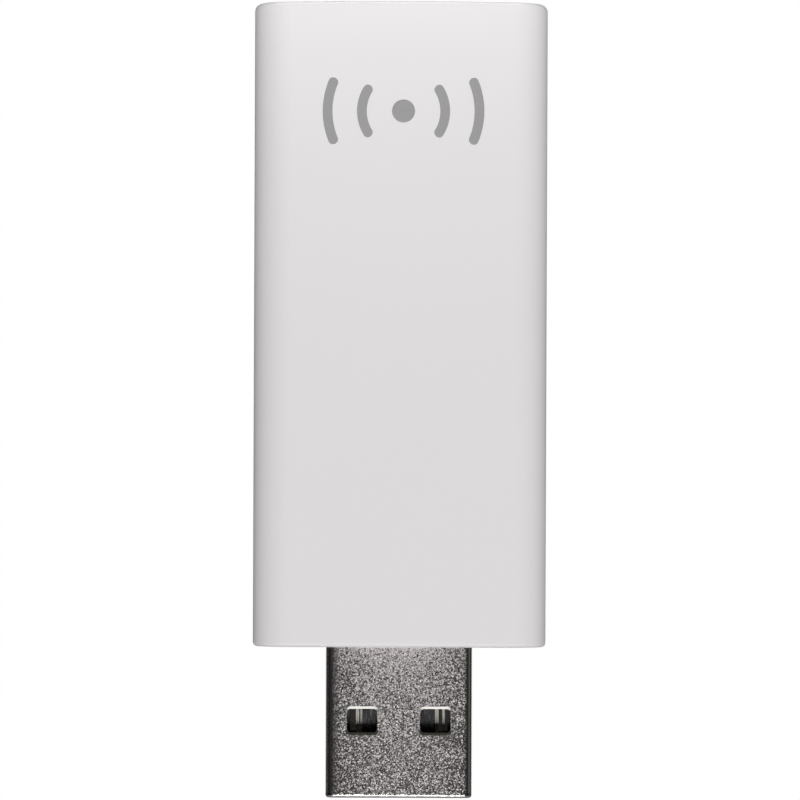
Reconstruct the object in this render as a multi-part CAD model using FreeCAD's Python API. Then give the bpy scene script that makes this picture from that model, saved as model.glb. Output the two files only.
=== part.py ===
import FreeCAD, Part
import math
import os

# Smart home USB radio stick, in millimetres.
# X runs across the stick, Y along it with the plug towards -Y, and Z from the rear face to the front face.
# The stick lies on its rear cover, and the origin is under its middle.

# Housing: two moulded covers that meet in a seam halfway up
housing_length = 52.8
housing_width = 24.0
wall_thickness = 1.3
long_edge_radius = 2.9
far_end_crown = 0.15
far_corner_round = 0.66
far_face_round = 0.25
plug_end_round = 0.35
least_round = 0.1

# Seam: the rear cover's lip slides into a rebate in the front cover, and beads on it snap in
lip_thickness = 0.6
lip_height = 1.0
lip_clearance = 0.1
shadow_gap = 0.15
bead_radius = 0.25
bead_length = 4.0
bead_spacing = 26.0
bead_clearance = 0.08

# USB plug: a shell folded from one sheet, with the seam on its rear face
plug_reach = 12.4
plug_width = 12.0
plug_thickness = 4.5
plug_sheet = 0.3
plug_bend = 0.64
plug_inside_depth = 6.8
plug_room = 0.75
plug_opening_clearance = 0.1
mouth_round = 0.25
window_width = 2.5
window_length = 1.95
window_spacing = 6.0
window_setback = 5.35
window_corner = 0.35
window_bevel_width = 0.2
window_bevel_depth = 0.1
shell_seam_width = 0.05
dovetail_setback = 9.7
dovetail_depth = 1.0
dovetail_neck = 0.8
dovetail_flare = 0.25

# Legs lanced out of the shell's side walls, which sit on the board and pass through it
leg_width = 1.4
leg_reach = 1.2
leg_inset = 1.25
leg_point = 0.5
lance_gap = 0.15
lance_margin = 0.2
slot_clearance = 0.1

# Insulator and its four contacts
tongue_thickness = 1.9
tongue_setback = 0.45
tongue_chamfer = 0.3
mouth_depth = 9.2
insulator_clearance = 0.02
insulator_setback = 0.3
contact_width = 1.0
contact_sheet = 0.25
contact_bend = 0.25
contact_rib_width = 0.5
contact_rib_height = 0.05
power_contact_setback = 1.2
data_contact_setback = 2.2
power_contact_spacing = 7.0
data_contact_spacing = 2.0
contact_tip_drop = 0.6
contact_heel_gap = 0.4
contact_foot_length = 1.5
groove_clearance = 0.03

# Circuit board: its top lies above the plug's rear face, so the plug sits in a notch
board_thickness = 1.0
board_top_above_plug = 1.15
board_side_gap = 0.3
board_front_gap = 0.2
board_far_gap = 0.4
board_corner = 0.8
notch_side_clearance = 0.15
notch_end_clearance = 0.2
notch_corner = 0.3
ledge_width = 1.0
peg_radius = 0.8
peg_clearance = 0.1
peg_inset = 2.2
peg_stand = 0.4
post_width = 0.9
post_length = 2.0
post_margin = 5.0
post_edge_gap = 0.1
posts_per_side = 3
rib_thickness = 0.8
rib_length = 8.0
rib_inset = 1.2

# Radio shield: a folded frame with a lid pressed over it
shield_room = 0.8
shield_height = 1.8
shield_sheet = 0.2
shield_flange = 0.7
shield_corner = 0.5
lid_skirt = 1.2
lid_clearance = 0.03
lid_slit = 0.3
vent_radius = 0.4
vent_pitch = 2.6
vents = 3

# Antenna: one stamped strip with a folded path cut in its top, on three legs with flat feet
antenna_side_gap = 1.7
antenna_width = 3.6
antenna_height = 3.2
antenna_sheet = 0.3
antenna_bend = 0.35
antenna_foot = 1.2
antenna_leg_width = 1.2
antenna_feed_gap = 1.8
antenna_slit_width = 0.8
antenna_slit_depth = 2.5
antenna_slit_pitch = 2.4
antenna_slits = 3

# Packages on the board: length along X, width along Y, and height
part_gap = 1.2
radio_chip_size = (7.0, 7.0, 0.85)
bridge_chip_size = (5.0, 5.0, 0.85)
memory_chip_size = (3.9, 4.9, 1.45)
regulator_size = (2.9, 1.6, 1.1)
crystal_size = (3.2, 2.5, 0.7)
filter_size = (3.0, 3.0, 1.0)
fuse_size = (3.2, 1.6, 0.7)
large_chip_size = (2.0, 1.25, 1.0)
middle_chip_size = (1.6, 0.8, 0.5)
small_chip_size = (1.0, 0.5, 0.5)
package_stand = 0.1
package_draft = 0.1
leg_sheet = 0.15
memory_legs_per_side = 4
memory_leg_pitch = 1.27
memory_leg_span = 6.0
regulator_leg_pitch = 0.95
regulator_leg_span = 2.8
package_leg_width = 0.4
package_leg_shoulder = 0.2
package_leg_lean = 0.1
cap_stand = 0.03
cap_share = 0.22
crystal_lid_inset = 0.2
crystal_lid_height = 0.2
pull_up_resistors = 4
radio_capacitors = 4

# Sizes that follow from the ones above
housing_thickness = plug_thickness + 2 * (plug_room + wall_thickness)
seam_z = housing_thickness / 2
far_y = (housing_length + plug_reach) / 2
mouth_y = -far_y
plug_end_y = mouth_y + plug_reach
shell_back_y = plug_end_y + plug_inside_depth
plug_bottom_z = seam_z - plug_thickness / 2
plug_top_z = seam_z + plug_thickness / 2
tongue_top_z = plug_bottom_z + plug_sheet + insulator_clearance + tongue_thickness
board_top_z = plug_bottom_z + board_top_above_plug
board_bottom_z = board_top_z - board_thickness
board_front_y = plug_end_y + wall_thickness + board_front_gap
board_end_y = far_y - wall_thickness - board_far_gap
notch_end_y = shell_back_y + notch_end_clearance
heel_y = notch_end_y + contact_heel_gap
foot_end_y = heel_y + contact_foot_length
prong_x = plug_width / 2 + leg_reach
lip_outer_x = housing_width / 2 - wall_thickness + lip_thickness
bead_z = seam_z + lip_height / 2
shield_width = radio_chip_size[0] + part_gap + crystal_size[0] + 2 * (shield_room + shield_sheet)
shield_length = radio_chip_size[1] + part_gap + small_chip_size[1] + 2 * (shield_room + shield_sheet)
beyond = housing_width
close = 0.001

X = FreeCAD.Vector(1, 0, 0)
Y = FreeCAD.Vector(0, 1, 0)
Z = FreeCAD.Vector(0, 0, 1)

# Each view of a sketch: the direction across it, the direction up it, and the one it is pulled along
VIEWS = {"end": (X, Z, Y), "top": (X, Y, Z), "side": (Y, Z, X)}


def about(centre, size):
    """The span of a size laid evenly about a centre."""
    return centre - size / 2, centre + size / 2


def spread(count, pitch):
    """Places set evenly about zero."""
    return [(i - (count - 1) / 2) * pitch for i in range(count)]


def block(xs, ys, zs):
    """A square block between two places along each axis."""
    return Part.makeBox(xs[1] - xs[0], ys[1] - ys[0], zs[1] - zs[0], FreeCAD.Vector(xs[0], ys[0], zs[0]))


def outline(corners, radii, view):
    """A closed outline through the corners of a sketch, each rounded to its own radius."""
    across, up, _ = VIEWS[view]
    points = [across * u + up * v for u, v in corners]
    bends = []
    for i, corner in enumerate(points):
        before = (points[i - 1] - corner).normalize()
        after = (points[(i + 1) % len(points)] - corner).normalize()
        half_angle = before.getAngle(after) / 2
        reach = radii[i] / math.tan(half_angle)
        depth = radii[i] / math.sin(half_angle) - radii[i]
        middle = corner + (before + after).normalize() * depth
        bends.append((corner + before * reach, middle, corner + after * reach))
    edges = []
    for i, (start, middle, end) in enumerate(bends):
        if radii[i] > 0:
            edges.append(Part.Arc(start, middle, end).toShape())
        following = bends[(i + 1) % len(bends)][0]
        if (following - end).Length > close:
            edges.append(Part.makeLine(end, following))
    return Part.Wire(edges)


def rounded_rectangle(us, vs, radius, view):
    """A closed rectangle with its four corners rounded."""
    corners = [(us[0], vs[0]), (us[1], vs[0]), (us[1], vs[1]), (us[0], vs[1])]
    return outline(corners, [radius] * len(corners), view)


def pull(wire, view, start, end):
    """The solid that a closed outline sweeps from start to end."""
    along = VIEWS[view][2]
    face = Part.Face(wire)
    face.translate(along * start)
    return face.extrude(along * (end - start))


def folded_strip(corners, sheet, bends, view, span, grow=0.0):
    """A strip of sheet folded at the corners of its middle line. It can be grown on all sides."""
    points = [FreeCAD.Vector(u, v, 0) for u, v in corners]
    headings = [(b - a).normalize() for a, b in zip(points, points[1:])]
    points[0] = points[0] - headings[0] * grow
    points[-1] = points[-1] + headings[-1] * grow
    half = sheet / 2 + grow
    left, right = [], []
    for i, point in enumerate(points):
        before = headings[max(i - 1, 0)]
        after = headings[min(i, len(headings) - 1)]
        normals = [FreeCAD.Vector(-heading.y, heading.x, 0) for heading in (before, after)]
        offset = (normals[0] + normals[1]) * (half / (1 + normals[0].dot(normals[1])))
        bend = bends[i - 1] if 0 < i < len(points) - 1 else 0.0
        turn = math.copysign(half, before.cross(after).z) if bend else 0.0
        left.append((point + offset, max(bend - turn, 0.0)))
        right.append((point - offset, max(bend + turn, 0.0)))
    ring = left + right[::-1]
    wire = outline([(point.x, point.y) for point, _ in ring], [radius for _, radius in ring], view)
    return pull(wire, view, span[0] - grow, span[1] + grow)


def join(shapes):
    """Several shapes as one solid, with the faces that line up merged."""
    return shapes[0].multiFuse(shapes[1:]).removeSplitter()


def round_ends(body, inset):
    """Rounds both ends' edges. The far end's are fine along the flat faces and larger at the corners."""
    document = FreeCAD.newDocument()
    base = document.addObject("Part::Feature", "Body")
    base.Shape = body
    half = housing_thickness / 2
    edge_rounds = []
    for side, face_round, corner_round in ((-1, plug_end_round, plug_end_round),
                                           (1, far_face_round, far_corner_round)):
        end_face = max(body.Faces, key=lambda face: side * face.CenterOfMass.y)
        for number, edge in enumerate(body.Edges, 1):
            if any(edge.isSame(rim) for rim in end_face.Edges):
                ends = [edge.valueAt(edge.FirstParameter), edge.valueAt(edge.LastParameter)]
                on_face = [abs(abs(end.z - half) + inset - half) < close for end in ends]
                sizes = [face_round if flat else corner_round for flat in on_face]
                edge_rounds.append((number, *[max(size - inset, least_round) for size in sizes]))
    rounding = document.addObject("Part::Fillet", "Rounding")
    rounding.Base = base
    rounding.Edges = edge_rounds
    document.recompute()
    shape = rounding.Shape.copy()
    FreeCAD.closeDocument(document.Name)
    return shape


def housing_body(inset, rounded=True):
    """The whole housing's form, moved inwards: round long edges and a far end bowed outwards."""
    section = rounded_rectangle(about(0, housing_width - 2 * inset), (inset, housing_thickness - inset),
                                long_edge_radius - inset, "end")
    body = pull(section, "end", plug_end_y + inset, far_y)
    bow_radius = (housing_width ** 2 / 4 + far_end_crown ** 2) / (2 * far_end_crown)
    bow = Part.makeCylinder(bow_radius - inset, 3 * beyond, FreeCAD.Vector(0, far_y - bow_radius, -beyond), Z)
    body = body.common(bow).removeSplitter()
    return round_ends(body, inset) if rounded else body


def layer(low, high):
    """A slab wider than the stick, between two heights."""
    return block(about(0, 2 * beyond), (mouth_y - beyond, far_y + beyond), (low, high))


def plug_opening():
    """The hole that the two covers leave in their end wall for the plug."""
    grow = 2 * plug_opening_clearance
    hole = rounded_rectangle(about(0, plug_width + grow), about(seam_z, plug_thickness + grow),
                             plug_bend + plug_opening_clearance, "end")
    return pull(hole, "end", plug_end_y - beyond, plug_end_y + 2 * wall_thickness)


def cavity_half_width(z):
    """Half the width inside the housing at a height below its middle."""
    if z >= long_edge_radius:
        return housing_width / 2 - wall_thickness
    drop = long_edge_radius - z
    inner_radius = long_edge_radius - wall_thickness
    return housing_width / 2 - long_edge_radius + math.sqrt(inner_radius ** 2 - drop ** 2)


board_half_width = cavity_half_width(board_bottom_z) - board_side_gap
antenna_length = 2 * (board_half_width - post_edge_gap - post_width - antenna_side_gap)
peg_places = [(side * (board_half_width - peg_inset), board_end_y - peg_inset) for side in (-1, 1)]
rib_ys = (plug_end_y + wall_thickness + rib_inset, shell_back_y - rib_inset)
leg_ys = (board_front_y + leg_inset, shell_back_y - leg_inset)


def plug_ribs(zs):
    """Ribs across the housing that hold the plug's flat face."""
    return [block(about(0, rib_length), about(y, rib_thickness), zs) for y in rib_ys]


def snap_beads(radius, length):
    """Rods along the lip's outer face, two on each long side."""
    rods = []
    for side in (-1, 1):
        for end in (-1, 1):
            start = FreeCAD.Vector(side * lip_outer_x, end * bead_spacing / 2 - length / 2, bead_z)
            start.y += (plug_end_y + far_y) / 2
            rods.append(Part.makeCylinder(radius, length, start, Y))
    return rods


def make_rear_cover():
    """Lower shell with a lip, snap beads, board ledges, locating pegs and ribs under the plug."""
    cavity = housing_body(wall_thickness, rounded=False)
    core = housing_body(wall_thickness / 2, rounded=False)
    tray = housing_body(0).common(layer(-beyond, seam_z)).cut(cavity)
    groove = layer(seam_z - shadow_gap, seam_z + beyond).cut(housing_body(shadow_gap))
    lip = housing_body(wall_thickness - lip_thickness, rounded=False).cut(cavity)
    lip = lip.common(layer(seam_z, seam_z + lip_height))
    inner_x = board_half_width - ledge_width
    floor_z = wall_thickness / 2
    ledges = [
        block(xs, (shell_back_y, far_y), (floor_z, board_bottom_z)).common(core)
        for xs in ((inner_x, beyond), (-beyond, -inner_x))
    ]
    pegs = [
        Part.makeCylinder(peg_radius, board_top_z + peg_stand - floor_z, FreeCAD.Vector(x, y, floor_z), Z)
        for x, y in peg_places
    ]
    beads = snap_beads(bead_radius, bead_length)
    ribs = plug_ribs((floor_z, plug_bottom_z))
    return join([tray.cut(groove), lip] + beads + ledges + pegs + ribs).cut(plug_opening())


def make_front_cover():
    """Upper shell with a rebate for the lip, bead pockets, board posts and ribs over the plug."""
    cavity = housing_body(wall_thickness, rounded=False)
    core = housing_body(wall_thickness / 2, rounded=False)
    rebate = housing_body(wall_thickness - lip_thickness - lip_clearance, rounded=False)
    rebate = rebate.common(layer(-beyond, seam_z + lip_height + lip_clearance))
    shell = housing_body(0).common(layer(seam_z, beyond)).cut(cavity).cut(rebate)
    pockets = snap_beads(bead_radius + bead_clearance, bead_length + 2 * bead_clearance)
    outer_x = board_half_width - post_edge_gap
    step = (board_end_y - board_front_y - 2 * post_margin) / (posts_per_side - 1)
    posts = []
    for xs in ((outer_x - post_width, outer_x), (-outer_x, post_width - outer_x)):
        for place in spread(posts_per_side, step):
            ys = about((board_front_y + board_end_y) / 2 + place, post_length)
            posts.append(block(xs, ys, (board_top_z, beyond)).common(core))
    ribs = [rib.common(core) for rib in plug_ribs((plug_top_z, beyond))]
    return join([shell.cut(pockets)] + posts + ribs).cut(plug_opening())


def plug_section(inset):
    """The outline across the plug, moved inwards."""
    return rounded_rectangle(about(0, plug_width - 2 * inset), about(seam_z, plug_thickness - 2 * inset),
                             plug_bend - inset, "end")


def window_ring(x, grow, z):
    """The outline of a latching window, grown on all sides, at a height."""
    xs = about(x, window_width + 2 * grow)
    ys = about(mouth_y + window_setback + window_length / 2, window_length + 2 * grow)
    ring = rounded_rectangle(xs, ys, window_corner + grow, "top")
    ring.translate(Z * z)
    return ring


def windows():
    """The latching windows through both faces of the shell, each with a shallow bevel round its rim."""
    holes = []
    for x in spread(2, window_spacing):
        holes.append(pull(window_ring(x, 0, 0), "top", plug_bottom_z, plug_top_z))
        for face_z, inwards in ((plug_bottom_z, 1), (plug_top_z, -1)):
            rims = [window_ring(x, window_bevel_width, face_z),
                    window_ring(x, 0, face_z + inwards * window_bevel_depth)]
            holes.append(Part.makeLoft(rims, True, True))
    return holes


def shell_seam():
    """The fine gap where the folded sheet's edges meet, with a dovetail that locks them."""
    dovetail_y = mouth_y + dovetail_setback
    near, far = dovetail_y - dovetail_neck, dovetail_y + dovetail_neck
    path = [
        (0, mouth_y - beyond),
        (0, near),
        (dovetail_depth, near - dovetail_flare),
        (dovetail_depth, far + dovetail_flare),
        (0, far),
        (0, shell_back_y + beyond),
    ]
    return folded_strip(path, shell_seam_width, [0.0] * (len(path) - 2), "top",
                        (plug_bottom_z - plug_sheet, plug_bottom_z + 2 * plug_sheet))


def make_plug_shell():
    """The folded shell: round mouth, windows with bevelled edges, closed seam and four lanced legs."""
    outside = pull(plug_section(0), "end", mouth_y, shell_back_y)
    mouth = min(outside.Faces, key=lambda face: face.CenterOfMass.y)
    outside = outside.makeFillet(mouth_round, mouth.Edges)
    inside = pull(plug_section(plug_sheet), "end", mouth_y - beyond, shell_back_y + beyond)
    shell = outside.cut(inside).cut(windows()).cut(shell_seam())
    wall_x = (plug_width - plug_sheet) / 2
    wing_z = board_top_z + plug_sheet / 2
    middle_line = [
        (wall_x, board_top_z - 2 * lance_gap),
        (wall_x, wing_z),
        (prong_x, wing_z),
        (prong_x, board_bottom_z - leg_point),
    ]
    bends = [notch_side_clearance + plug_sheet / 2, slot_clearance + plug_sheet / 2]
    lance_zs = (board_top_z - lance_gap, plug_top_z - plug_bend - lance_margin)
    legs = []
    for side in (-1, 1):
        line = [(side * u, v) for u, v in middle_line]
        for y in leg_ys:
            hole = block(about(side * wall_x, 2 * plug_sheet), about(y, leg_width + 2 * lance_gap), lance_zs)
            shell = shell.cut(hole)
            legs.append(folded_strip(line, plug_sheet, bends, "end", about(y, leg_width)))
    return join([shell] + legs)


# Each contact: its place across the plug and where its tip lies behind the mouth
CONTACTS = {
    "power_contact": (-power_contact_spacing / 2, power_contact_setback),
    "data_minus_contact": (-data_contact_spacing / 2, data_contact_setback),
    "data_plus_contact": (data_contact_spacing / 2, data_contact_setback),
    "ground_contact": (power_contact_spacing / 2, power_contact_setback),
}


def contact_strip(x, setback, grow=0.0):
    """A contact's folded strip: tip turned down, blade along the tongue, heel down to a foot."""
    tip_y = mouth_y + setback
    blade_z = tongue_top_z - contact_sheet / 2
    foot_z = board_top_z + contact_sheet / 2
    heel_bend = min(contact_bend, (blade_z - foot_z) / 2)
    line = [
        (tip_y, blade_z - contact_tip_drop),
        (tip_y, blade_z),
        (heel_y, blade_z),
        (heel_y, foot_z),
        (foot_end_y, foot_z),
    ]
    bends = [contact_bend, heel_bend, heel_bend]
    return folded_strip(line, contact_sheet, bends, "side", about(x, contact_width), grow)


def make_contact(x, setback):
    """A contact with the raised rib that the socket's springs press on."""
    ys = (mouth_y + setback + 2 * contact_bend, mouth_y + mouth_depth)
    zs = (tongue_top_z - contact_sheet / 2, tongue_top_z + contact_rib_height)
    rib = block(about(x, contact_rib_width), ys, zs)
    return join([contact_strip(x, setback), rib])


def make_insulator():
    """The moulded tongue and the block behind it, grooved for the contacts."""
    front, back = mouth_y + tongue_setback, shell_back_y - insulator_setback
    filling = pull(plug_section(plug_sheet + insulator_clearance), "end", front, back)
    space = block(about(0, beyond), (mouth_y, mouth_y + mouth_depth), (tongue_top_z, plug_top_z))
    body = filling.cut(space)
    tip_edges = [
        edge for edge in body.Edges
        if edge.BoundBox.YMax < front + close and edge.BoundBox.ZMin > tongue_top_z - close
    ]
    body = body.makeChamfer(tongue_chamfer, tip_edges)
    return body.cut([contact_strip(x, setback, groove_clearance) for x, setback in CONTACTS.values()])


def make_circuit_board():
    """The board, with a notch for the plug, slots for its legs and holes for the pegs."""
    half, notch = board_half_width, plug_width / 2 + notch_side_clearance
    corners = [(-half, board_front_y), (-notch, board_front_y), (-notch, notch_end_y), (notch, notch_end_y),
               (notch, board_front_y), (half, board_front_y), (half, board_end_y), (-half, board_end_y)]
    radii = [board_corner] + [notch_corner] * 4 + [board_corner] * 3
    zs = (board_bottom_z, board_top_z)
    board = pull(outline(corners, radii, "top"), "top", *zs)
    grow = 2 * slot_clearance
    holes = [
        block(about(x, plug_sheet + grow), about(y, leg_width + grow), zs)
        for x in (-prong_x, prong_x) for y in leg_ys
    ]
    for x, y in peg_places:
        base = FreeCAD.Vector(x, y, board_bottom_z)
        holes.append(Part.makeCylinder(peg_radius + peg_clearance, board_thickness, base, Z))
    return board.cut(holes)


# Rows of parts along the board, evenly spaced from the contacts' feet to the far end
ROW_DEPTHS = {
    "protection": regulator_leg_span,
    "bridge": bridge_chip_size[1],
    "memory": memory_chip_size[1],
    "shield": shield_length,
    "matching": middle_chip_size[1],
    "antenna": antenna_width + antenna_foot,
}
row_gap = (board_end_y - foot_end_y - sum(ROW_DEPTHS.values())) / (len(ROW_DEPTHS) + 1)
row_y = {}
reached = foot_end_y
for row, depth in ROW_DEPTHS.items():
    row_y[row] = reached + row_gap + depth / 2
    reached += row_gap + depth


def moulded_package(size, x, y):
    """A moulded package, held off the board, whose sides slope in above and below its middle."""
    length, width, height = size
    low = board_top_z + package_stand
    levels = ((low, package_draft), (low + height / 2, 0.0), (low + height, package_draft))
    wires = []
    for level, slope in levels:
        xs, ys = about(x, length - 2 * slope), about(y, width - 2 * slope)
        corners = [FreeCAD.Vector(xs[i], ys[j], level) for i, j in ((0, 0), (1, 0), (1, 1), (0, 1))]
        wires.append(Part.makePolygon(corners + corners[:1]))
    return Part.makeLoft(wires, True, True)


def flat_package(size, x, y):
    """A package with no legs, which stands flat on the board."""
    length, width, height = size
    return block(about(x, length), about(y, width), (board_top_z, board_top_z + height))


def gull_wing_legs(view, centre, body_width, leg_span, height, places):
    """Legs that leave a package at half its height, turn down and end in flat feet."""
    body_edge, tip = body_width / 2, leg_span / 2
    shoulder_z = board_top_z + package_stand + height / 2
    foot_z = board_top_z + leg_sheet / 2
    line = [(body_edge, shoulder_z), (body_edge + package_leg_shoulder, shoulder_z),
            (body_edge + package_leg_shoulder + package_leg_lean, foot_z), (tip, foot_z)]
    legs = []
    for side, along in places:
        turned = [(centre + side * u, v) for u, v in line]
        legs.append(folded_strip(turned, leg_sheet, [0.0] * 2, view, about(along, package_leg_width)))
    return Part.makeCompound(legs)


def capped_chip(size, x, y):
    """A fired chip part between two metal end caps, which stand a little proud of it."""
    length, width, height = size
    body = block(about(x, length - 2 * cap_stand), about(y, width - 2 * cap_stand),
                 (board_top_z + cap_stand, board_top_z + height - cap_stand))
    cap = cap_share * length
    zs = (board_top_z, board_top_z + height)
    ends = [block(about(x + side * (length - cap) / 2, cap), about(y, width), zs) for side in (-1, 1)]
    return join([body] + ends)


def make_crystal(x, y):
    """The radio's crystal: a ceramic base with a smaller metal lid welded on it."""
    length, width, height = crystal_size
    lid_z = board_top_z + height - crystal_lid_height
    base = block(about(x, length), about(y, width), (board_top_z, lid_z))
    lid = block(about(x, length - 2 * crystal_lid_inset), about(y, width - 2 * crystal_lid_inset),
                (lid_z, board_top_z + height))
    return join([base, lid])


def shield_box(inset, low, high):
    """The shield's plan, moved inwards or outwards, as a block between two heights."""
    xs = about(0, shield_width - 2 * inset)
    ys = about(row_y["shield"], shield_length - 2 * inset)
    plan = rounded_rectangle(xs, ys, max(shield_corner - inset, 0), "top")
    return pull(plan, "top", low, high)


def make_shield_frame():
    """The fence soldered to the board, with a flange turned inwards along its top."""
    top = board_top_z + shield_height
    fence = shield_box(0, board_top_z, top)
    fence = fence.cut(shield_box(shield_sheet, board_top_z, top - shield_sheet))
    return fence.cut(shield_box(shield_flange, board_top_z, top + beyond))


def make_shield_lid():
    """The lid, folded down along its four sides, slit at its corners and pierced with vents."""
    inner_top = board_top_z + shield_height + lid_clearance
    low = inner_top - lid_skirt
    lid = shield_box(-lid_clearance - shield_sheet, low, inner_top + shield_sheet)
    lid = lid.cut(shield_box(-lid_clearance, low, inner_top))
    cuts = []
    for x in spread(2, shield_width + 2 * lid_clearance):
        for y in spread(2, shield_length + 2 * lid_clearance):
            slit = about(row_y["shield"] + y, 2 * lid_slit)
            cuts.append(block(about(x, 2 * lid_slit), slit, (low, inner_top)))
    for x in spread(vents, vent_pitch):
        base = FreeCAD.Vector(x, row_y["shield"], inner_top)
        cuts.append(Part.makeCylinder(vent_radius, shield_sheet, base, Z))
    return lid.cut(cuts)


def make_antenna():
    """The antenna: a plate slit from alternate sides, on a ground leg, a feed leg and an open leg."""
    front, back = about(row_y["antenna"] + antenna_foot / 2, antenna_width)
    plate_z = board_top_z + antenna_height - antenna_sheet / 2
    plate = block(about(0, antenna_length), (front + antenna_bend, back), about(plate_z, antenna_sheet))
    slits = []
    for i, place in enumerate(spread(antenna_slits, antenna_slit_pitch)):
        from_front = (front - beyond, front + antenna_slit_depth)
        from_back = (back - antenna_slit_depth, back + beyond)
        xs = about(place + antenna_slit_pitch, antenna_slit_width)
        slits.append(block(xs, from_back if i % 2 else from_front, about(plate_z, 2 * antenna_sheet)))
    foot_z = board_top_z + antenna_sheet / 2
    leg_y = front + antenna_sheet / 2
    line = [
        (front + 2 * antenna_bend, plate_z),
        (leg_y, plate_z),
        (leg_y, foot_z),
        (front - antenna_foot, foot_z),
    ]
    ground_x = (antenna_leg_width - antenna_length) / 2
    feed_x = ground_x + antenna_leg_width + antenna_feed_gap
    legs = [
        folded_strip(line, antenna_sheet, [antenna_bend] * 2, "side", about(x, antenna_leg_width))
        for x in (ground_x, feed_x, -ground_x)
    ]
    return join([plate.cut(slits)] + legs)


parts = {
    "rear_cover": make_rear_cover(),
    "front_cover": make_front_cover(),
    "plug_shell": make_plug_shell(),
    "plug_insulator": make_insulator(),
    "circuit_board": make_circuit_board(),
    "shield_frame": make_shield_frame(),
    "shield_lid": make_shield_lid(),
    "antenna": make_antenna(),
}
for name, (x, setback) in CONTACTS.items():
    parts[name] = make_contact(x, setback)

# Protection row: surge protector between the ferrite bead and the resettable fuse
protection_y = row_y["protection"]
beside_x = regulator_size[0] / 2 + 2 * part_gap
parts["surge_protector"] = moulded_package(regulator_size, 0, protection_y)
parts["surge_protector_legs"] = gull_wing_legs(
    "side", protection_y, regulator_size[1], regulator_leg_span, regulator_size[2],
    [(side, along) for side in (-1, 1) for along in spread(3, regulator_leg_pitch)])
parts["ferrite_bead"] = capped_chip(large_chip_size, -beside_x - large_chip_size[0] / 2, protection_y)
parts["resettable_fuse"] = capped_chip(fuse_size, beside_x + fuse_size[0] / 2, protection_y)

# Bridge row: the bridge chip, with the supply on its right and two pairs of capacitors on its left
bridge_y = row_y["bridge"]
beside_x = bridge_chip_size[0] / 2 + part_gap
supply_x = beside_x + regulator_size[0] / 2
parts["usb_bridge_chip"] = flat_package(bridge_chip_size, 0, bridge_y)
parts["voltage_regulator"] = moulded_package(regulator_size, supply_x, bridge_y)
parts["voltage_regulator_legs"] = gull_wing_legs(
    "side", bridge_y, regulator_size[1], regulator_leg_span, regulator_size[2],
    [(-1, supply_x + along) for along in spread(3, regulator_leg_pitch)]
    + [(1, supply_x + along) for along in spread(2, 2 * regulator_leg_pitch)])
for i, (name, side) in enumerate((("input_capacitor", -1), ("output_capacitor", 1))):
    pair_y = bridge_y + side * (large_chip_size[1] + part_gap) / 2
    near_x = beside_x + small_chip_size[0] / 2
    far_x = beside_x + small_chip_size[0] + (part_gap + large_chip_size[0]) / 2
    parts[f"bridge_capacitor_{i + 1}"] = capped_chip(small_chip_size, -near_x, pair_y)
    parts[name] = capped_chip(large_chip_size, -far_x, pair_y)

# Memory row: the memory chip beside four pull-up resistors
memory_y = row_y["memory"]
memory_x = -(memory_leg_span + part_gap) / 2
parts["memory_chip"] = moulded_package(memory_chip_size, memory_x, memory_y)
parts["memory_chip_legs"] = gull_wing_legs(
    "end", memory_x, memory_chip_size[0], memory_leg_span, memory_chip_size[2],
    [(side, memory_y + along) for side in (-1, 1) for along in spread(memory_legs_per_side, memory_leg_pitch)])
resistor_x = part_gap + middle_chip_size[0] / 2
for i, place in enumerate(spread(pull_up_resistors, memory_leg_pitch)):
    parts[f"pull_up_resistor_{i + 1}"] = capped_chip(middle_chip_size, resistor_x, memory_y + place)

# Under the shield: the radio chip, four capacitors along it, and the signal filter over the crystal
radio_x = -(part_gap + crystal_size[0]) / 2
radio_y = row_y["shield"] + (part_gap + small_chip_size[1]) / 2
column_x = radio_x + radio_chip_size[0] / 2 + part_gap + crystal_size[0] / 2
parts["radio_chip"] = flat_package(radio_chip_size, radio_x, radio_y)
parts["signal_filter"] = flat_package(filter_size, column_x, radio_y + (part_gap + filter_size[1]) / 2)
parts["radio_crystal"] = make_crystal(column_x, radio_y - (part_gap + crystal_size[1]) / 2)
capacitor_y = radio_y - (radio_chip_size[1] + small_chip_size[1]) / 2 - part_gap
for i, place in enumerate(spread(radio_capacitors, small_chip_size[0] + part_gap / 2)):
    parts[f"radio_capacitor_{i + 1}"] = capped_chip(small_chip_size, radio_x + place, capacitor_y)

# Matching row: a small coil between two capacitors, on the way to the antenna
matching_y = row_y["matching"]
parts["matching_coil"] = capped_chip(middle_chip_size, 0, matching_y)
for i, place_x in enumerate(spread(2, middle_chip_size[0] + small_chip_size[0] + 2 * part_gap)):
    parts[f"matching_capacitor_{i + 1}"] = capped_chip(small_chip_size, place_x, matching_y)

os.makedirs("parts", exist_ok=True)
for name, shape in parts.items():
    shape.exportStep(f"parts/{name}.step")
    solids = shape.Solids
    print(name, len(solids), "solid(s), valid", shape.isValid(), "volume", round(shape.Volume, 3))
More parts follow.
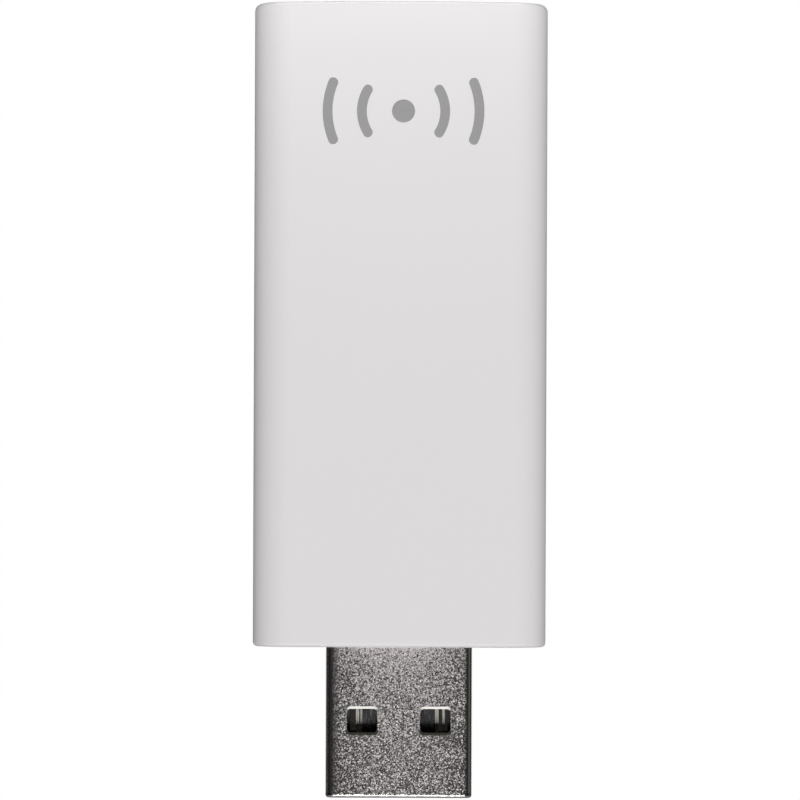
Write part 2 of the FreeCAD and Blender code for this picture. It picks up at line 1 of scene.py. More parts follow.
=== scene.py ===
import math
import bpy
import numpy as np
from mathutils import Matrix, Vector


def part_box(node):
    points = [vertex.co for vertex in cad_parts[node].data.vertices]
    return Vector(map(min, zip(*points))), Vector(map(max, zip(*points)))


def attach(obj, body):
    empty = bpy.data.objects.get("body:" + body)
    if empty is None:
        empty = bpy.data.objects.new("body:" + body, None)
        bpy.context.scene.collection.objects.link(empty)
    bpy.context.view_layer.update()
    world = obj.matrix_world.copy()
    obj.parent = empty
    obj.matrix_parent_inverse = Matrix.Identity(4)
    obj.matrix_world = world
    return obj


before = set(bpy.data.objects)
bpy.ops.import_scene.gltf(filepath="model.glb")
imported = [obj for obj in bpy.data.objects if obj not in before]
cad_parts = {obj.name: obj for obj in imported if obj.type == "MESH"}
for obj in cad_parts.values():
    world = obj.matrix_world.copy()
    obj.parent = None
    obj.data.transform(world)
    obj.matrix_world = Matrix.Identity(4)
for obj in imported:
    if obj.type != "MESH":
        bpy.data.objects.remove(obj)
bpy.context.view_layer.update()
MM = 0.001


# Rear cover. The lower half of the housing, moulded in satin white plastic. Its tool was finished by spark
# erosion, which leaves a fine even grain, and the plastic has faint cloudy flow marks under it.

def add(tree, kind, sockets=None, **settings):
    """A node of a kind. Each named socket takes a value, or is joined to another node's output."""
    made = tree.nodes.new(kind)
    for name, value in settings.items():
        setattr(made, name, value)
    for name, value in (sockets or {}).items():
        if isinstance(value, bpy.types.NodeSocket):
            tree.links.new(value, made.inputs[name])
        else:
            made.inputs[name].default_value = value
    return made


def maths(tree, operation, *values, clamp=False):
    """A sum, product, power or comparison. A comparison gives 1 where it holds, and otherwise 0."""
    made = add(tree, "ShaderNodeMath", dict(enumerate(values)), operation=operation, use_clamp=clamp)
    return made.outputs[0]


def ramp(tree, value, start, end, low=0.0, high=1.0, shape="LINEAR"):
    """Goes from low to high while the value goes from start to end, and stays level beyond them."""
    ends = {"Value": value, "From Min": start, "From Max": end, "To Min": low, "To Max": high}
    return add(tree, "ShaderNodeMapRange", ends, interpolation_type=shape).outputs["Result"]


def rescale(tree, share, low, high):
    """A value from 0 to 1 moved to run from low to high."""
    return ramp(tree, share, 0.0, 1.0, low, high)


def blend_colours(tree, share, low, high):
    """The colour that goes from low to high as the share goes from 0 to 1."""
    mix = tree.nodes.new("ShaderNodeMix")
    mix.data_type = "RGBA"
    for place, value in ((0, share), (6, low), (7, high)):
        if isinstance(value, bpy.types.NodeSocket):
            tree.links.new(value, mix.inputs[place])
        else:
            mix.inputs[place].default_value = value if place == 0 else (*value, 1)
    return mix.outputs[2]


def noise(tree, vector, scale, detail):
    """Soft noise from 0 to 1, with a scale in waves per metre."""
    made = add(tree, "ShaderNodeTexNoise", {"Vector": vector, "Scale": scale, "Detail": detail})
    return made.outputs["Fac"]


def effect(name, inputs, outputs):
    """An empty node group with number or vector inputs, and number outputs."""
    group = bpy.data.node_groups.new(name, "ShaderNodeTree")
    for label, value in inputs.items():
        kind = "NodeSocketVector" if value is None else "NodeSocketFloat"
        socket = group.interface.new_socket(label, in_out="INPUT", socket_type=kind)
        if value is not None:
            socket.default_value = value
    for label in outputs:
        group.interface.new_socket(label, in_out="OUTPUT", socket_type="NodeSocketFloat")
    return group, group.nodes.new("NodeGroupInput").outputs, group.nodes.new("NodeGroupOutput").inputs


def use(tree, group, vector, values):
    """An effect placed in a material, with its own values."""
    made = add(tree, "ShaderNodeGroup", node_tree=group)
    tree.links.new(vector, made.inputs["Vector"])
    for label, value in values.items():
        made.inputs[label].default_value = value
    return made.outputs


def start_finish(name, colour, constants=None):
    """A material, its node tree, its shader and the object coordinates that its patterns read."""
    material = bpy.data.materials.new(name)
    material.use_nodes = True
    tree = material.node_tree
    shader = tree.nodes["Principled BSDF"].inputs
    shader["Base Color"].default_value = (*colour, 1)
    for label, value in (constants or {}).items():
        shader[label].default_value = value
    return material, tree, shader, add(tree, "ShaderNodeTexCoord").outputs["Object"]


def raise_grain(tree, shader, height, depth):
    """Joins a height, from 0 to 1, to the shader's normal. The depth is in metres."""
    bump = add(tree, "ShaderNodeBump", {"Height": height, "Strength": 1.0, "Distance": depth})
    tree.links.new(bump.outputs["Normal"], shader["Normal"])


def dress(material, *names):
    """Gives CAD nodes a material."""
    for name in names:
        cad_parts[name].material_slots[0].material = material


def moulded_grain():
    """Spark-eroded grain, a height made of two sizes of noise, and slow cloudy flow marks."""
    group, given, out = effect("Moulded grain", {"Vector": None, "Grain Size": 0.1 * MM}, ("Height", "Cloud"))
    coarse_share, clouds_per_metre = 0.3, 90.0
    fine_scale = maths(group, "DIVIDE", 1.0, given["Grain Size"])
    coarse_scale = maths(group, "MULTIPLY", fine_scale, coarse_share)
    fine = noise(group, given["Vector"], fine_scale, 2.0)
    coarse = noise(group, given["Vector"], coarse_scale, 1.0)
    cloud = noise(group, given["Vector"], clouds_per_metre, 1.0)
    group.links.new(maths(group, "MULTIPLY", maths(group, "ADD", fine, coarse), 0.5), out["Height"])
    group.links.new(cloud, out["Cloud"])
    return group


MOULDED_GRAIN = moulded_grain()


def satin_white_plastic():
    """White plastic. Cloudy marks change its colour by under a hundredth each way, and its gloss by more."""
    material, tree, shader, place = start_finish("satin_white_plastic", (0.735, 0.715, 0.722), {"IOR": 1.5})
    marks = use(tree, MOULDED_GRAIN, place, {"Grain Size": 0.11 * MM})
    colour = blend_colours(tree, marks["Cloud"], (0.728, 0.709, 0.716), (0.742, 0.723, 0.73))
    tree.links.new(colour, shader["Base Color"])
    tree.links.new(rescale(tree, marks["Cloud"], 0.54, 0.62), shader["Roughness"])
    raise_grain(tree, shader, marks["Height"], 0.0025 * MM)
    return material


WHITE = satin_white_plastic()
dress(WHITE, "rear_cover")


# Circuit board. Glass cloth laminate, 1 mm thick, under green solder mask. The copper tracks show as paler
# lines through the mask, the cut edges are bare yellow laminate, and small tinned holes join the layers.

def axis_of(tree, vector, axis):
    """The X, Y or Z part of a vector."""
    return add(tree, "ShaderNodeSeparateXYZ", {"Vector": vector}).outputs[axis]


def green_laminate():
    """Solder mask over two sets of tracks that cross at right angles, with a woven relief of glass cloth."""
    track_width, track_pitch, track_length = 0.07 * MM, 0.8 * MM, 3.1 * MM
    holes_per_metre, hole_share, threads_per_metre = 420.0, 0.1, 700.0
    material, tree, shader, place = start_finish("green_laminate", (0.01, 0.09, 0.035), {"IOR": 1.5})
    tracks = []
    for turn in (0.0, math.pi / 2):
        turned = add(tree, "ShaderNodeMapping", {"Vector": place, "Rotation": (0, 0, turn)}).outputs["Vector"]
        lines = add(tree, "ShaderNodeTexBrick", {
            "Vector": turned, "Scale": 1.0, "Mortar Size": track_width, "Mortar Smooth": 0.2,
            "Brick Width": track_length, "Row Height": track_pitch}, offset=0.37)
        tracks.append(lines.outputs["Fac"])
    copper = maths(tree, "MAXIMUM", *tracks)
    holes = add(tree, "ShaderNodeTexVoronoi", {
        "Vector": place, "Scale": holes_per_metre, "Randomness": 0.7})
    tinned = maths(tree, "LESS_THAN", holes.outputs["Distance"], hole_share)
    masked = blend_colours(tree, copper, (0.008, 0.075, 0.03), (0.02, 0.17, 0.07))
    with_holes = blend_colours(tree, tinned, masked, (0.6, 0.58, 0.52))
    facing = add(tree, "ShaderNodeNewGeometry").outputs["Normal"]
    level = maths(tree, "ABSOLUTE", axis_of(tree, facing, "Z"))
    wide_face = maths(tree, "GREATER_THAN", level, 0.5)
    tree.links.new(blend_colours(tree, wide_face, (0.42, 0.36, 0.16), with_holes), shader["Base Color"])
    tree.links.new(rescale(tree, copper, 0.28, 0.36), shader["Roughness"])
    weave = add(tree, "ShaderNodeTexWave", {"Vector": place, "Scale": threads_per_metre, "Distortion": 1.5})
    relief = maths(tree, "MULTIPLY_ADD", weave.outputs["Fac"], 0.3, copper)
    raise_grain(tree, shader, relief, 0.02 * MM)
    return material


dress(green_laminate(), "circuit_board")


# Chips. Each is cast in black epoxy filled with glass beads, which gives a dull stone-like face, and has a
# round dimple over its first leg. Their legs are copper strip with a dull coat of tin.

def centred(tree, place, name):
    """Object coordinates moved so that they start at the middle of a CAD node."""
    low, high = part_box(name)
    return add(tree, "ShaderNodeMapping", {"Vector": place, "Location": -(low + high) / 2}).outputs["Vector"]


def cast_epoxy(name):
    """Black epoxy, with a smooth dimple in the corner over the first leg."""
    material, tree, shader, place = start_finish(f"cast_epoxy_{name}", (0.018, 0.018, 0.02), {"IOR": 1.55})
    low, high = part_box(name)
    size = high - low
    inset = min(0.18 * min(size.x, size.y), 0.8 * MM)
    corner = (inset - size.x / 2, size.y / 2 - inset, size.z / 2)
    middle = centred(tree, place, name)
    reach = add(tree, "ShaderNodeVectorMath", {0: middle, 1: corner}, operation="DISTANCE").outputs["Value"]
    around = ramp(tree, reach, 0.5 * inset, 0.6 * inset)
    grain = use(tree, MOULDED_GRAIN, place, {"Grain Size": 0.06 * MM})
    colour = blend_colours(tree, around, (0.006, 0.006, 0.007), (0.02, 0.02, 0.022))
    tree.links.new(colour, shader["Base Color"])
    tree.links.new(rescale(tree, grain["Cloud"], 0.5, 0.68), shader["Roughness"])
    raise_grain(tree, shader, maths(tree, "MULTIPLY_ADD", grain["Height"], 0.2, around), 0.015 * MM)
    return material


for chip in ("radio_chip", "usb_bridge_chip", "memory_chip", "voltage_regulator", "surge_protector"):
    dress(cast_epoxy(chip), chip)


def rolled_grain():
    """Marks of rolling and plating on metal: long fine streaks along Y, and small round flecks."""
    group, given, out = effect("Rolled grain", {
        "Vector": None, "Fleck Size": 0.1 * MM, "Fleck Spread": 0.14, "Streak Size": 0.05 * MM,
        "Streak Share": 0.5}, ("Height", "Fleck"))
    fleck_scale = maths(group, "DIVIDE", 1.0, given["Fleck Size"])
    flecks = noise(group, given["Vector"], fleck_scale, 2.0)
    lowest = maths(group, "SUBTRACT", 0.5, given["Fleck Spread"])
    highest = maths(group, "ADD", 0.5, given["Fleck Spread"])
    crisp = ramp(group, flecks, lowest, highest)
    stretch = (1, 0.04, 1)
    drawn_out = add(group, "ShaderNodeVectorMath", {0: given["Vector"], 1: stretch}, operation="MULTIPLY")
    streak_scale = maths(group, "DIVIDE", 1.0, given["Streak Size"])
    streaks = noise(group, drawn_out.outputs["Vector"], streak_scale, 2.0)
    both = add(group, "ShaderNodeMix", {0: given["Streak Share"], 2: crisp, 3: streaks})
    group.links.new(both.outputs[0], out["Height"])
    group.links.new(crisp, out["Fleck"])
    return group


ROLLED_GRAIN = rolled_grain()


def plated_metal(name, dark, light, roughness, depth, grain):
    """Plated metal whose flecks go from a dark tone to a light one, and change its gloss as well."""
    material, tree, shader, place = start_finish(name, light, {"Metallic": 1.0})
    marks = use(tree, ROLLED_GRAIN, place, grain)
    tree.links.new(blend_colours(tree, marks["Fleck"], dark, light), shader["Base Color"])
    tree.links.new(rescale(tree, marks["Fleck"], *roughness), shader["Roughness"])
    raise_grain(tree, shader, marks["Height"], depth)
    return material


tinned_legs = plated_metal(
    "dull_tin", (0.45, 0.44, 0.42), (0.66, 0.65, 0.62), (0.5, 0.36), 0.002 * MM,
    {"Fleck Size": 0.05 * MM, "Streak Size": 0.04 * MM, "Streak Share": 0.3})
dress(tinned_legs, "memory_chip_legs", "voltage_regulator_legs", "surge_protector_legs")


# Small fired parts. Each capacitor, resistor, coil, bead and fuse is a body between two caps dipped in tin,
# which are a little proud of it. The body's colour tells them apart.

def end_caps():
    """A mask that is 1 on the two caps, from the distance along X to the part's middle."""
    group, given, out = effect("End caps", {"Vector": None, "Half Body": 0.3 * MM}, ("Cap",))
    reach = maths(group, "ABSOLUTE", axis_of(group, given["Vector"], "X"))
    group.links.new(maths(group, "GREATER_THAN", reach, given["Half Body"]), out["Cap"])
    return group


END_CAPS = end_caps()


def fired_part(name, body):
    """A fired body with cloudy colour, between caps of dull tin."""
    material, tree, shader, place = start_finish(f"fired_{name}", body, {"IOR": 1.5})
    cap_share = 0.22
    low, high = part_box(name)
    half_body = (0.5 - cap_share) * (high.x - low.x)
    cap = use(tree, END_CAPS, centred(tree, place, name), {"Half Body": half_body})["Cap"]
    grain = use(tree, MOULDED_GRAIN, place, {"Grain Size": 0.05 * MM})
    pale = tuple(1.25 * value for value in body)
    fired = blend_colours(tree, grain["Height"], body, pale)
    tree.links.new(blend_colours(tree, cap, fired, (0.62, 0.61, 0.58)), shader["Base Color"])
    tree.links.new(cap, shader["Metallic"])
    tree.links.new(rescale(tree, cap, 0.45, 0.38), shader["Roughness"])
    raise_grain(tree, shader, grain["Height"], 0.004 * MM)
    return material


TAN, SLATE, CHALK = (0.3, 0.19, 0.1), (0.03, 0.035, 0.045), (0.55, 0.56, 0.58)
SOOT, LEAF = (0.06, 0.06, 0.065), (0.02, 0.12, 0.05)
bodies = {"input_capacitor": TAN, "output_capacitor": TAN, "matching_coil": CHALK, "ferrite_bead": SOOT,
          "resettable_fuse": LEAF}
for family, count, body_colour in (("bridge_capacitor", 2, TAN), ("matching_capacitor", 2, TAN),
                                   ("radio_capacitor", 4, TAN), ("pull_up_resistor", 4, SLATE)):
    bodies.update({f"{family}_{i + 1}": body_colour for i in range(count)})
for part_name, body_colour in bodies.items():
    dress(fired_part(part_name, body_colour), part_name)


# Crystal and filter. Both are ceramic trays closed by a metal lid: a plated one welded to the crystal's tray,
# and a gilt one soldered over the filter.

def lidded_ceramic(name, tray, lid, lid_share):
    """Ceramic below, and metal above a share of the height."""
    material, tree, shader, place = start_finish(f"lidded_{name}", tray, {"IOR": 1.5})
    low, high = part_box(name)
    lid_z = low.z + lid_share * (high.z - low.z)
    metal = maths(tree, "GREATER_THAN", axis_of(tree, place, "Z"), lid_z)
    marks = use(tree, ROLLED_GRAIN, place, {
        "Fleck Size": 0.12 * MM, "Streak Size": 0.06 * MM, "Streak Share": 0.6})
    tray_colour = blend_colours(tree, marks["Fleck"], tray, tuple(0.85 * value for value in tray))
    lid_colour = blend_colours(tree, marks["Fleck"], tuple(0.8 * value for value in lid), lid)
    tree.links.new(blend_colours(tree, metal, tray_colour, lid_colour), shader["Base Color"])
    tree.links.new(metal, shader["Metallic"])
    tree.links.new(rescale(tree, metal, 0.6, 0.3), shader["Roughness"])
    raise_grain(tree, shader, marks["Height"], 0.002 * MM)
    return material


dress(lidded_ceramic("radio_crystal", (0.45, 0.42, 0.37), (0.7, 0.68, 0.64), 0.7), "radio_crystal")
dress(lidded_ceramic("signal_filter", (0.5, 0.47, 0.4), (0.8, 0.58, 0.28), 0.75), "signal_filter")


# Shield and antenna. The shield's fence and lid are tinned steel sheet, and the antenna is a stamped strip of
# plated bronze. All three keep the streaks of the rolled sheet they were punched from.

tin_plate = plated_metal(
    "bright_tin_plate", (0.58, 0.57, 0.54), (0.74, 0.73, 0.7), (0.38, 0.24), 0.0015 * MM,
    {"Fleck Size": 0.3 * MM, "Streak Size": 0.06 * MM, "Streak Share": 0.8})
dress(tin_plate, "shield_frame", "shield_lid")
bronze = plated_metal(
    "plated_bronze", (0.62, 0.44, 0.22), (0.78, 0.6, 0.34), (0.36, 0.26), 0.0015 * MM,
    {"Fleck Size": 0.2 * MM, "Streak Size": 0.05 * MM, "Streak Share": 0.8})
dress(bronze, "antenna")


# Insulator. The plug's tongue and the block behind it are moulded in black glass-filled plastic, which dries
# to a half gloss and shows fine fibres near its face.

def black_glass_filled():
    """Black plastic with short pale fibres that lie along the tongue."""
    material, tree, shader, place = start_finish("black_glass_filled", (0.012, 0.012, 0.013), {"IOR": 1.5})
    fibres_per_metre, stretch = 9000.0, (1, 0.15, 1)
    drawn_out = add(tree, "ShaderNodeMapping", {"Vector": place, "Scale": stretch}).outputs["Vector"]
    fibres = ramp(tree, noise(tree, drawn_out, fibres_per_metre, 2.0), 0.5, 0.75)
    colour = blend_colours(tree, fibres, (0.01, 0.01, 0.011), (0.03, 0.03, 0.032))
    tree.links.new(colour, shader["Base Color"])
    tree.links.new(rescale(tree, fibres, 0.24, 0.36), shader["Roughness"])
    raise_grain(tree, shader, fibres, 0.001 * MM)
    return material


dress(black_glass_filled(), "plug_insulator")


# Contacts. Four strips of sprung bronze with a bright plating, each with the raised rib that the press gives
# it. The socket's springs have rubbed two dull lines along each, which catch light where the rest is dark.

def rub_marks():
    """A mask that is 1 along two lines, from their places along X and their widths."""
    group, given, out = effect("Rub marks", {
        "Vector": None, "First Place": 0.0, "First Width": 0.2 * MM, "Second Place": 0.0,
        "Second Width": 0.2 * MM}, ("Mark",))
    across = axis_of(group, given["Vector"], "X")
    marks = []
    for line in ("First", "Second"):
        off = maths(group, "SUBTRACT", across, given[f"{line} Place"])
        share = maths(group, "DIVIDE", maths(group, "ABSOLUTE", off), given[f"{line} Width"])
        marks.append(ramp(group, share, 0.35, 0.6, 1.0, 0.0))
    group.links.new(maths(group, "MAXIMUM", *marks), out["Mark"])
    return group


RUB_MARKS = rub_marks()


def rubbed_contact(name, first, second):
    """Bright plating with fine drawn streaks, and two rubbed lines at places given from the middle."""
    material, tree, shader, place = start_finish(f"rubbed_{name}", (0.7, 0.64, 0.55), {"Metallic": 1.0})
    grain = use(tree, ROLLED_GRAIN, place, {
        "Fleck Size": 0.12 * MM, "Streak Size": 0.04 * MM, "Streak Share": 0.8})
    mark = use(tree, RUB_MARKS, centred(tree, place, name), {
        "First Place": first, "First Width": 0.24 * MM,
        "Second Place": second, "Second Width": 0.16 * MM})["Mark"]
    bright = blend_colours(tree, grain["Fleck"], (0.62, 0.56, 0.48), (0.78, 0.72, 0.62))
    tree.links.new(blend_colours(tree, mark, bright, (0.2, 0.192, 0.184)), shader["Base Color"])
    tree.links.new(rescale(tree, mark, 0.1, 0.5), shader["Roughness"])
    raise_grain(tree, shader, grain["Height"], 0.0004 * MM)
    return material


for contact, first_line, second_line in (
        ("power_contact", 0.11 * MM, 0.44 * MM), ("data_minus_contact", -0.1 * MM, 0.3 * MM),
        ("data_plus_contact", -0.2 * MM, 0.25 * MM), ("ground_contact", -0.37 * MM, 0.18 * MM)):
    dress(rubbed_contact(contact, first_line, second_line), contact)


# Plug shell. Steel sheet, folded round and locked by a dovetail, then plated with matt nickel. Its flat faces
# have a coarse glittering grain, its edges are torn at the mouth and sheared at the windows, and its bends
# are drawn smooth. Its flecks are painted brighter towards the housing, as light reflected from its white
# end, and darker towards both sides as painted shade, most of all beside the left bend. Window rims turned
# away from the mouth are painted dark, as painted shade.

_, tongue_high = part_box("plug_insulator")
shell_low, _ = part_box("plug_shell")
housing_low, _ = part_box("rear_cover")
bend_x = tongue_high.x - 0.32 * MM
mouth_y = shell_low.y + 0.4 * MM
# Where the painted shade beside the left bend ends.
painted_left_shade_x = 0.65 * MM - bend_x


def flat_faces(tree, facing, side):
    """A mask of the faces square to X or Z, and a mask of all the flat ones.

    Between the bends, each face that doesn't look along Y is a flat one too.
    """
    sizes = add(tree, "ShaderNodeVectorMath", {0: facing}, operation="ABSOLUTE").outputs["Vector"]
    split = add(tree, "ShaderNodeSeparateXYZ", {"Vector": sizes}).outputs
    square = ramp(tree, maths(tree, "MAXIMUM", split["X"], split["Z"]), 0.93, 0.98)
    inner = maths(tree, "LESS_THAN", split["Y"], 0.2)
    return square, rescale(tree, side, inner, square)


def flecks_with_painted_light(tree, fleck, across, along):
    """Flecks with painted light on them: painted brighter towards the housing, as light reflected from its
    white end, and darker towards the mouth and both sides as painted shade, most of all beside the left bend.

    They dull by a power, as a higher one leaves fewer bright flecks.
    """
    # Painted shade that dulls the flecks towards both sides.
    painted_side_shade = ramp(tree, maths(tree, "ABSOLUTE", across), 0.3 * bend_x, bend_x, shape="SMOOTHSTEP")
    # Painted light reflected from the housing's white end: bright flecks near the housing, dull ones at the
    # mouth.
    painted_reflection_share = maths(tree, "POWER", ramp(tree, along, shell_low.y, housing_low.y), 2.0)
    painted_light_power = maths(tree, "ADD", rescale(tree, painted_reflection_share, 2.1, 0.4), painted_side_shade)
    # Painted shade beside the left bend.
    painted_left_shade = ramp(tree, across, -bend_x, painted_left_shade_x, 0.2, 1.0)
    return maths(tree, "MULTIPLY", maths(tree, "POWER", fleck, painted_light_power), painted_left_shade)


def edge_colours(tree, facing, fleck, side, mouth):
    """Torn metal at the mouth, and sheared metal elsewhere.

    Window rims turned to the mouth are bright, and those turned away from it are painted dark,
    as painted shade.
    """
    turned = ramp(tree, axis_of(tree, facing, "Y"), -0.37, -0.22)
    # Painted shade: rims turned away from the mouth get a dark colour.
    painted_dark_rim = maths(tree, "SUBTRACT", turned, side, clamp=True)
    sheared = blend_colours(tree, painted_dark_rim, (0.45, 0.44, 0.42), (0.08, 0.076, 0.061))
    torn = blend_colours(tree, fleck, (0.1, 0.097, 0.095), (0.25, 0.24, 0.23))
    return blend_colours(tree, mouth, sheared, torn)


def matt_nickel():
    """Nickel with light and dark flecks that carry painted light and shade, but not on bends and cut edges.
    """
    material, tree, shader, place = start_finish("matt_nickel", (0.6, 0.58, 0.56), {"Metallic": 1.0})
    marks = use(tree, ROLLED_GRAIN, place, {
        "Fleck Size": 0.12 * MM, "Fleck Spread": 0.15, "Streak Share": 0.0})
    across, along = axis_of(tree, place, "X"), axis_of(tree, place, "Y")
    side = maths(tree, "GREATER_THAN", maths(tree, "ABSOLUTE", across), bend_x)
    mouth = maths(tree, "LESS_THAN", along, mouth_y)
    facing = add(tree, "ShaderNodeNewGeometry").outputs["True Normal"]
    square, flat = flat_faces(tree, facing, side)
    # The flecks' brightness, with painted light and painted shade on it.
    shine_and_painted_light = flecks_with_painted_light(tree, marks["Fleck"], across, along)
    grain_and_painted_light = blend_colours(tree, shine_and_painted_light, (0.061, 0.057, 0.056), (0.97, 0.91, 0.9))
    cut = edge_colours(tree, facing, marks["Fleck"], side, mouth)
    tree.links.new(blend_colours(tree, flat, cut, grain_and_painted_light), shader["Base Color"])
    smooth = rescale(tree, side, rescale(tree, mouth, 0.55, 0.34), 0.14)
    rough = rescale(tree, square, 0.7, 0.23)
    tree.links.new(rescale(tree, flat, smooth, rough), shader["Roughness"])
    raise_grain(tree, shader, maths(tree, "MULTIPLY", marks["Height"], flat), 0.001 * MM)
    return material


dress(matt_nickel(), "plug_shell")


# Front cover. The upper half of the housing, from the same plastic and the same kind of tool as the rear one.

dress(WHITE, "front_cover")


# Printed sign. A plain grey sign of radio waves, two arcs on each side of a dot, pad printed near the front
# face's far end. The ink stands two hundredths of a millimetre proud, with rounded edges and ends.

def ink_stroke(radius, centre, half_angle, heading, width, depth, base_z):
    """An arc of ink about a centre: a half oval carried along it, which narrows to nothing at the ends."""
    along = np.linspace(-1, 1, 49)[:, None]
    round_it = np.linspace(0, np.pi, 17)[None, :]
    cap = width / 2 / (radius * half_angle)
    into_end = np.clip((np.abs(along) - 1 + cap) / cap, 0, 1)
    narrow = np.sqrt(1 - into_end ** 2)
    angle = heading + half_angle * along
    reach = radius + width / 2 * narrow * np.cos(round_it)
    x = centre[0] + reach * np.cos(angle)
    y = centre[1] + reach * np.sin(angle)
    z = base_z + depth * narrow * np.minimum(2.5 * np.sin(round_it), 1)
    return np.stack([x, y, z], axis=-1)


def ink_dot(radius, centre, depth, base_z):
    """A round dot of ink: a flat disc whose rim falls away at its edge."""
    out = np.linspace(0, 1, 13)[:, None]
    turn = np.linspace(0, 2 * np.pi, 65)[None, :]
    x = centre[0] + radius * out * np.cos(turn)
    y = centre[1] + radius * out * np.sin(turn)
    z = base_z + depth * np.minimum(4 * np.sqrt(1.0001 - out ** 2), 1) + 0 * turn
    return np.stack([x, y, z], axis=-1)


def surface_mesh(name, grids):
    """One mesh from several grids of points, with a four-sided face between neighbouring rows and columns."""
    points, faces, start = [], [], 0
    for grid in grids:
        rows, columns = grid.shape[:2]
        number = start + np.arange(rows * columns).reshape(rows, columns)
        corners = (number[:-1, :-1], number[:-1, 1:], number[1:, 1:], number[1:, :-1])
        faces.append(np.stack([corner.ravel() for corner in corners], axis=1))
        points.append(grid.reshape(-1, 3))
        start += rows * columns
    mesh = bpy.data.meshes.new(name)
    mesh.from_pydata(np.concatenate(points).tolist(), [], np.concatenate(faces).tolist())
    mesh.polygons.foreach_set("use_smooth", [True] * len(mesh.polygons))
    made = bpy.data.objects.new(name, mesh)
    bpy.context.scene.collection.objects.link(made)
    return made


_, front_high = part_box("front_cover")
sign_centre = (0.2 * MM, front_high.y - 9.0 * MM)
sign_arcs = ((3.4 * MM, math.radians(38)), (6.2 * MM, math.radians(26)))
arc_width, dot_radius = 0.8 * MM, 0.95 * MM
ink = {"depth": 0.02 * MM, "base_z": front_high.z - 0.002 * MM}
strokes = [ink_dot(dot_radius, sign_centre, **ink)]
for arc_radius, half_angle in sign_arcs:
    for heading in (0.0, math.pi):
        strokes.append(ink_stroke(arc_radius, sign_centre, half_angle, heading, arc_width, **ink))
sign = surface_mesh("printed_sign", strokes)


def grey_ink():
    """Grey printing ink, a little duller than the plastic, with the faint mottle of a soft pad."""
    material, tree, shader, place = start_finish("grey_ink", (0.29, 0.285, 0.287), {"IOR": 1.5})
    marks = use(tree, MOULDED_GRAIN, place, {"Grain Size": 0.09 * MM})
    colour = blend_colours(tree, marks["Height"], (0.265, 0.26, 0.262), (0.315, 0.31, 0.312))
    tree.links.new(colour, shader["Base Color"])
    tree.links.new(rescale(tree, marks["Cloud"], 0.45, 0.55), shader["Roughness"])
    raise_grain(tree, shader, marks["Height"], 0.002 * MM)
    return material


sign.data.materials.append(grey_ink())
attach(sign, "root")


# Studio. The stick lies on a wide pale floor under a dark tent. Two high soft lamps light the plastic and
# give the metal its sheen. A low lamp catches the cut edges, a small one stands behind the far end and a dim
# one on each side. Two dark cards beside the plug give its bends their dark line.

def floor_finish():
    """A pale floor that shades under the stick and is close to white for the camera and in reflections."""
    white_share, glow = 0.9, 1.1
    material, tree, _, _ = start_finish("pale_floor", (0.12, 0.12, 0.12))
    tree.nodes.clear()
    path = add(tree, "ShaderNodeLightPath").outputs
    mirrored = maths(tree, "MAXIMUM", path["Is Glossy Ray"], path["Is Transmission Ray"])
    seen = maths(tree, "MAXIMUM", path["Is Camera Ray"], mirrored)
    share = maths(tree, "MULTIPLY", seen, white_share)
    pale = add(tree, "ShaderNodeBsdfDiffuse", {"Color": (0.12, 0.12, 0.12, 1)}).outputs["BSDF"]
    white = add(tree, "ShaderNodeEmission", {"Color": (1, 1, 1, 1), "Strength": glow}).outputs["Emission"]
    mixed = add(tree, "ShaderNodeMixShader", {0: share, 1: pale, 2: white}).outputs["Shader"]
    add(tree, "ShaderNodeOutputMaterial", {"Surface": mixed})
    return material


def floor_grid(reach):
    """A level square sheet of points just under the stick's rear face."""
    x, y = np.meshgrid(np.linspace(-reach, reach, 9), np.linspace(-reach, reach, 9))
    return np.stack([x.T, y.T, 0 * x - 0.02 * MM], axis=-1)[::-1]


def tent_grid(radius):
    """The upper half of a ball, open at the bottom."""
    rise = np.linspace(0, np.pi / 2, 17)[:, None]
    turn = np.linspace(0, 2 * np.pi, 49)[None, :]
    x, y = np.cos(rise) * np.cos(turn), np.cos(rise) * np.sin(turn)
    return radius * np.stack([x, y, np.sin(rise) + 0 * turn], axis=-1)


def tent_cloth(radius):
    """Dark cloth. In reflections it is pale before and behind the stick, and dimmer low down to its right."""
    material, tree, shader, place = start_finish("dark_tent", (0.05, 0.05, 0.05), {"Roughness": 1.0})
    shader["Emission Color"].default_value = (1, 1, 1, 1)
    sizes = add(tree, "ShaderNodeVectorMath", {0: place}, operation="ABSOLUTE").outputs["Vector"]
    split = add(tree, "ShaderNodeSeparateXYZ", {"Vector": sizes}).outputs
    dim, dark_glow, pale_glow = 0.22, 0.012, 0.65
    ends = ramp(tree, split["Y"], 0.2 * radius, 0.45 * radius)
    beside = ramp(tree, split["Z"], 0.38 * radius, 0.48 * radius, dim, 0.0)
    right = maths(tree, "GREATER_THAN", axis_of(tree, place, "X"), 0.0)
    around = maths(tree, "MAXIMUM", ends, maths(tree, "MULTIPLY", beside, right))
    below_lamps = ramp(tree, split["Z"], 0.76 * radius, 0.88 * radius, 1.0, 0.0)
    glossy = add(tree, "ShaderNodeLightPath").outputs["Is Glossy Ray"]
    shown = maths(tree, "MULTIPLY", maths(tree, "MULTIPLY", around, below_lamps), glossy)
    tree.links.new(rescale(tree, shown, dark_glow, pale_glow), shader["Emission Strength"])
    material.cycles.emission_sampling = "NONE"
    return material


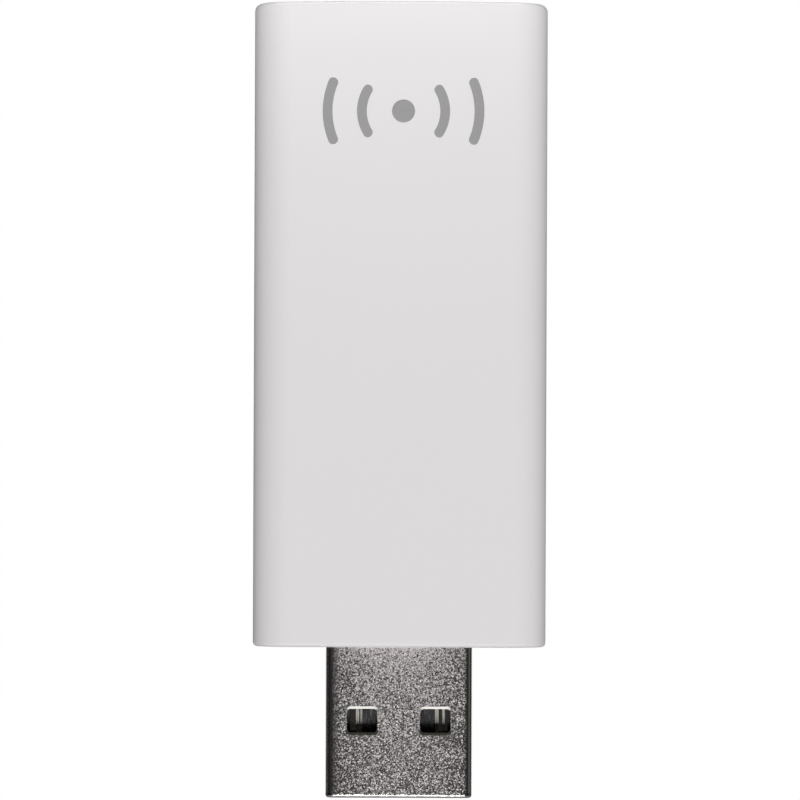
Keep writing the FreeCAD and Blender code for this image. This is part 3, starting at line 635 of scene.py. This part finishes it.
floor_reach, tent_radius = 6.0, 3.0
card_ends = {"x": (12.5 * MM, 400.0 * MM), "y": (-45.0 * MM, 45.0 * MM), "z": 0.3 * MM}
floor = surface_mesh("floor", [floor_grid(floor_reach)])
floor.data.materials.append(floor_finish())
tent = surface_mesh("tent", [tent_grid(tent_radius)])
tent.visible_camera = False
tent.data.materials.append(tent_cloth(tent_radius))
cards = []
for side in (-1, 1):
    x, y = np.meshgrid(side * np.array(card_ends["x"]), card_ends["y"])
    cards.append(np.stack([x, y, 0 * x + card_ends["z"]], axis=-1))
card = surface_mesh("dark_cards", cards)
card.visible_camera = card.visible_diffuse = card.visible_shadow = False
black, _, _, _ = start_finish("black_card", (0.01, 0.01, 0.01), {"Roughness": 1.0})
card.data.materials.append(black)


def soft_lamp(name, place, size, power):
    """A flat lamp that faces the stick's middle, with its size in metres and its power in watts."""
    light = bpy.data.lights.new(name, "AREA")
    light.shape = "RECTANGLE"
    light.size, light.size_y = size
    light.energy = power
    made = bpy.data.objects.new(name, light)
    made.location = place
    aim = -made.location
    made.rotation_euler = aim.to_track_quat("-Z", "Y").to_euler()
    made.visible_camera = False
    bpy.context.scene.collection.objects.link(made)
    return made


high_size = (0.72, 0.64)
soft_lamp("high_lamp", (0, -0.618, 1.902), high_size, 34.8).visible_glossy = False
soft_lamp("sheen_lamp", (0, -0.845, 1.813), high_size, 36.0).visible_diffuse = False
soft_lamp("low_lamp", (0, -1.05, 0.67), (0.6, 0.75), 2.9).visible_diffuse = False
soft_lamp("far_lamp", (0, 0.06, 0.02), (0.05, 0.012), 0.0085)
for name, side, power in (("left_lamp", -1, 1.65), ("right_lamp", 1, 2.6)):
    soft_lamp(name, (side * 0.9, 0, 0.12), (0.3, 0.3), power).visible_glossy = False

world = bpy.data.worlds.new("white_room")
world.use_nodes = True
world.node_tree.nodes["Background"].inputs["Color"].default_value = (1, 1, 1, 1)
bpy.context.scene.world = world
bpy.context.scene.view_settings.view_transform = "Standard"


# Camera. It looks straight down on the front face from well above, turned by a fifth of a degree, and the
# stick fills the picture's height.

_, plug_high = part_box("plug_shell")
camera_height, camera_turn = 0.6, math.radians(0.22)
plug_width, plug_pixels, picture_pixels = 12.0 * MM, 146.5, 800
pixels_per_metre = plug_pixels / plug_width
picture_width = picture_pixels / pixels_per_metre
camera_data = bpy.data.cameras.new("camera")
camera_data.sensor_width = 36.0
camera_data.lens = camera_data.sensor_width * camera_height / picture_width
camera_data.clip_start = 0.01
camera_data.clip_end = 20.0
camera = bpy.data.objects.new("camera", camera_data)
camera.location = (0, 0.01 * MM, plug_high.z + camera_height)
camera.rotation_euler = (0, 0, camera_turn)
bpy.context.scene.collection.objects.link(camera)
bpy.context.scene.camera = camera
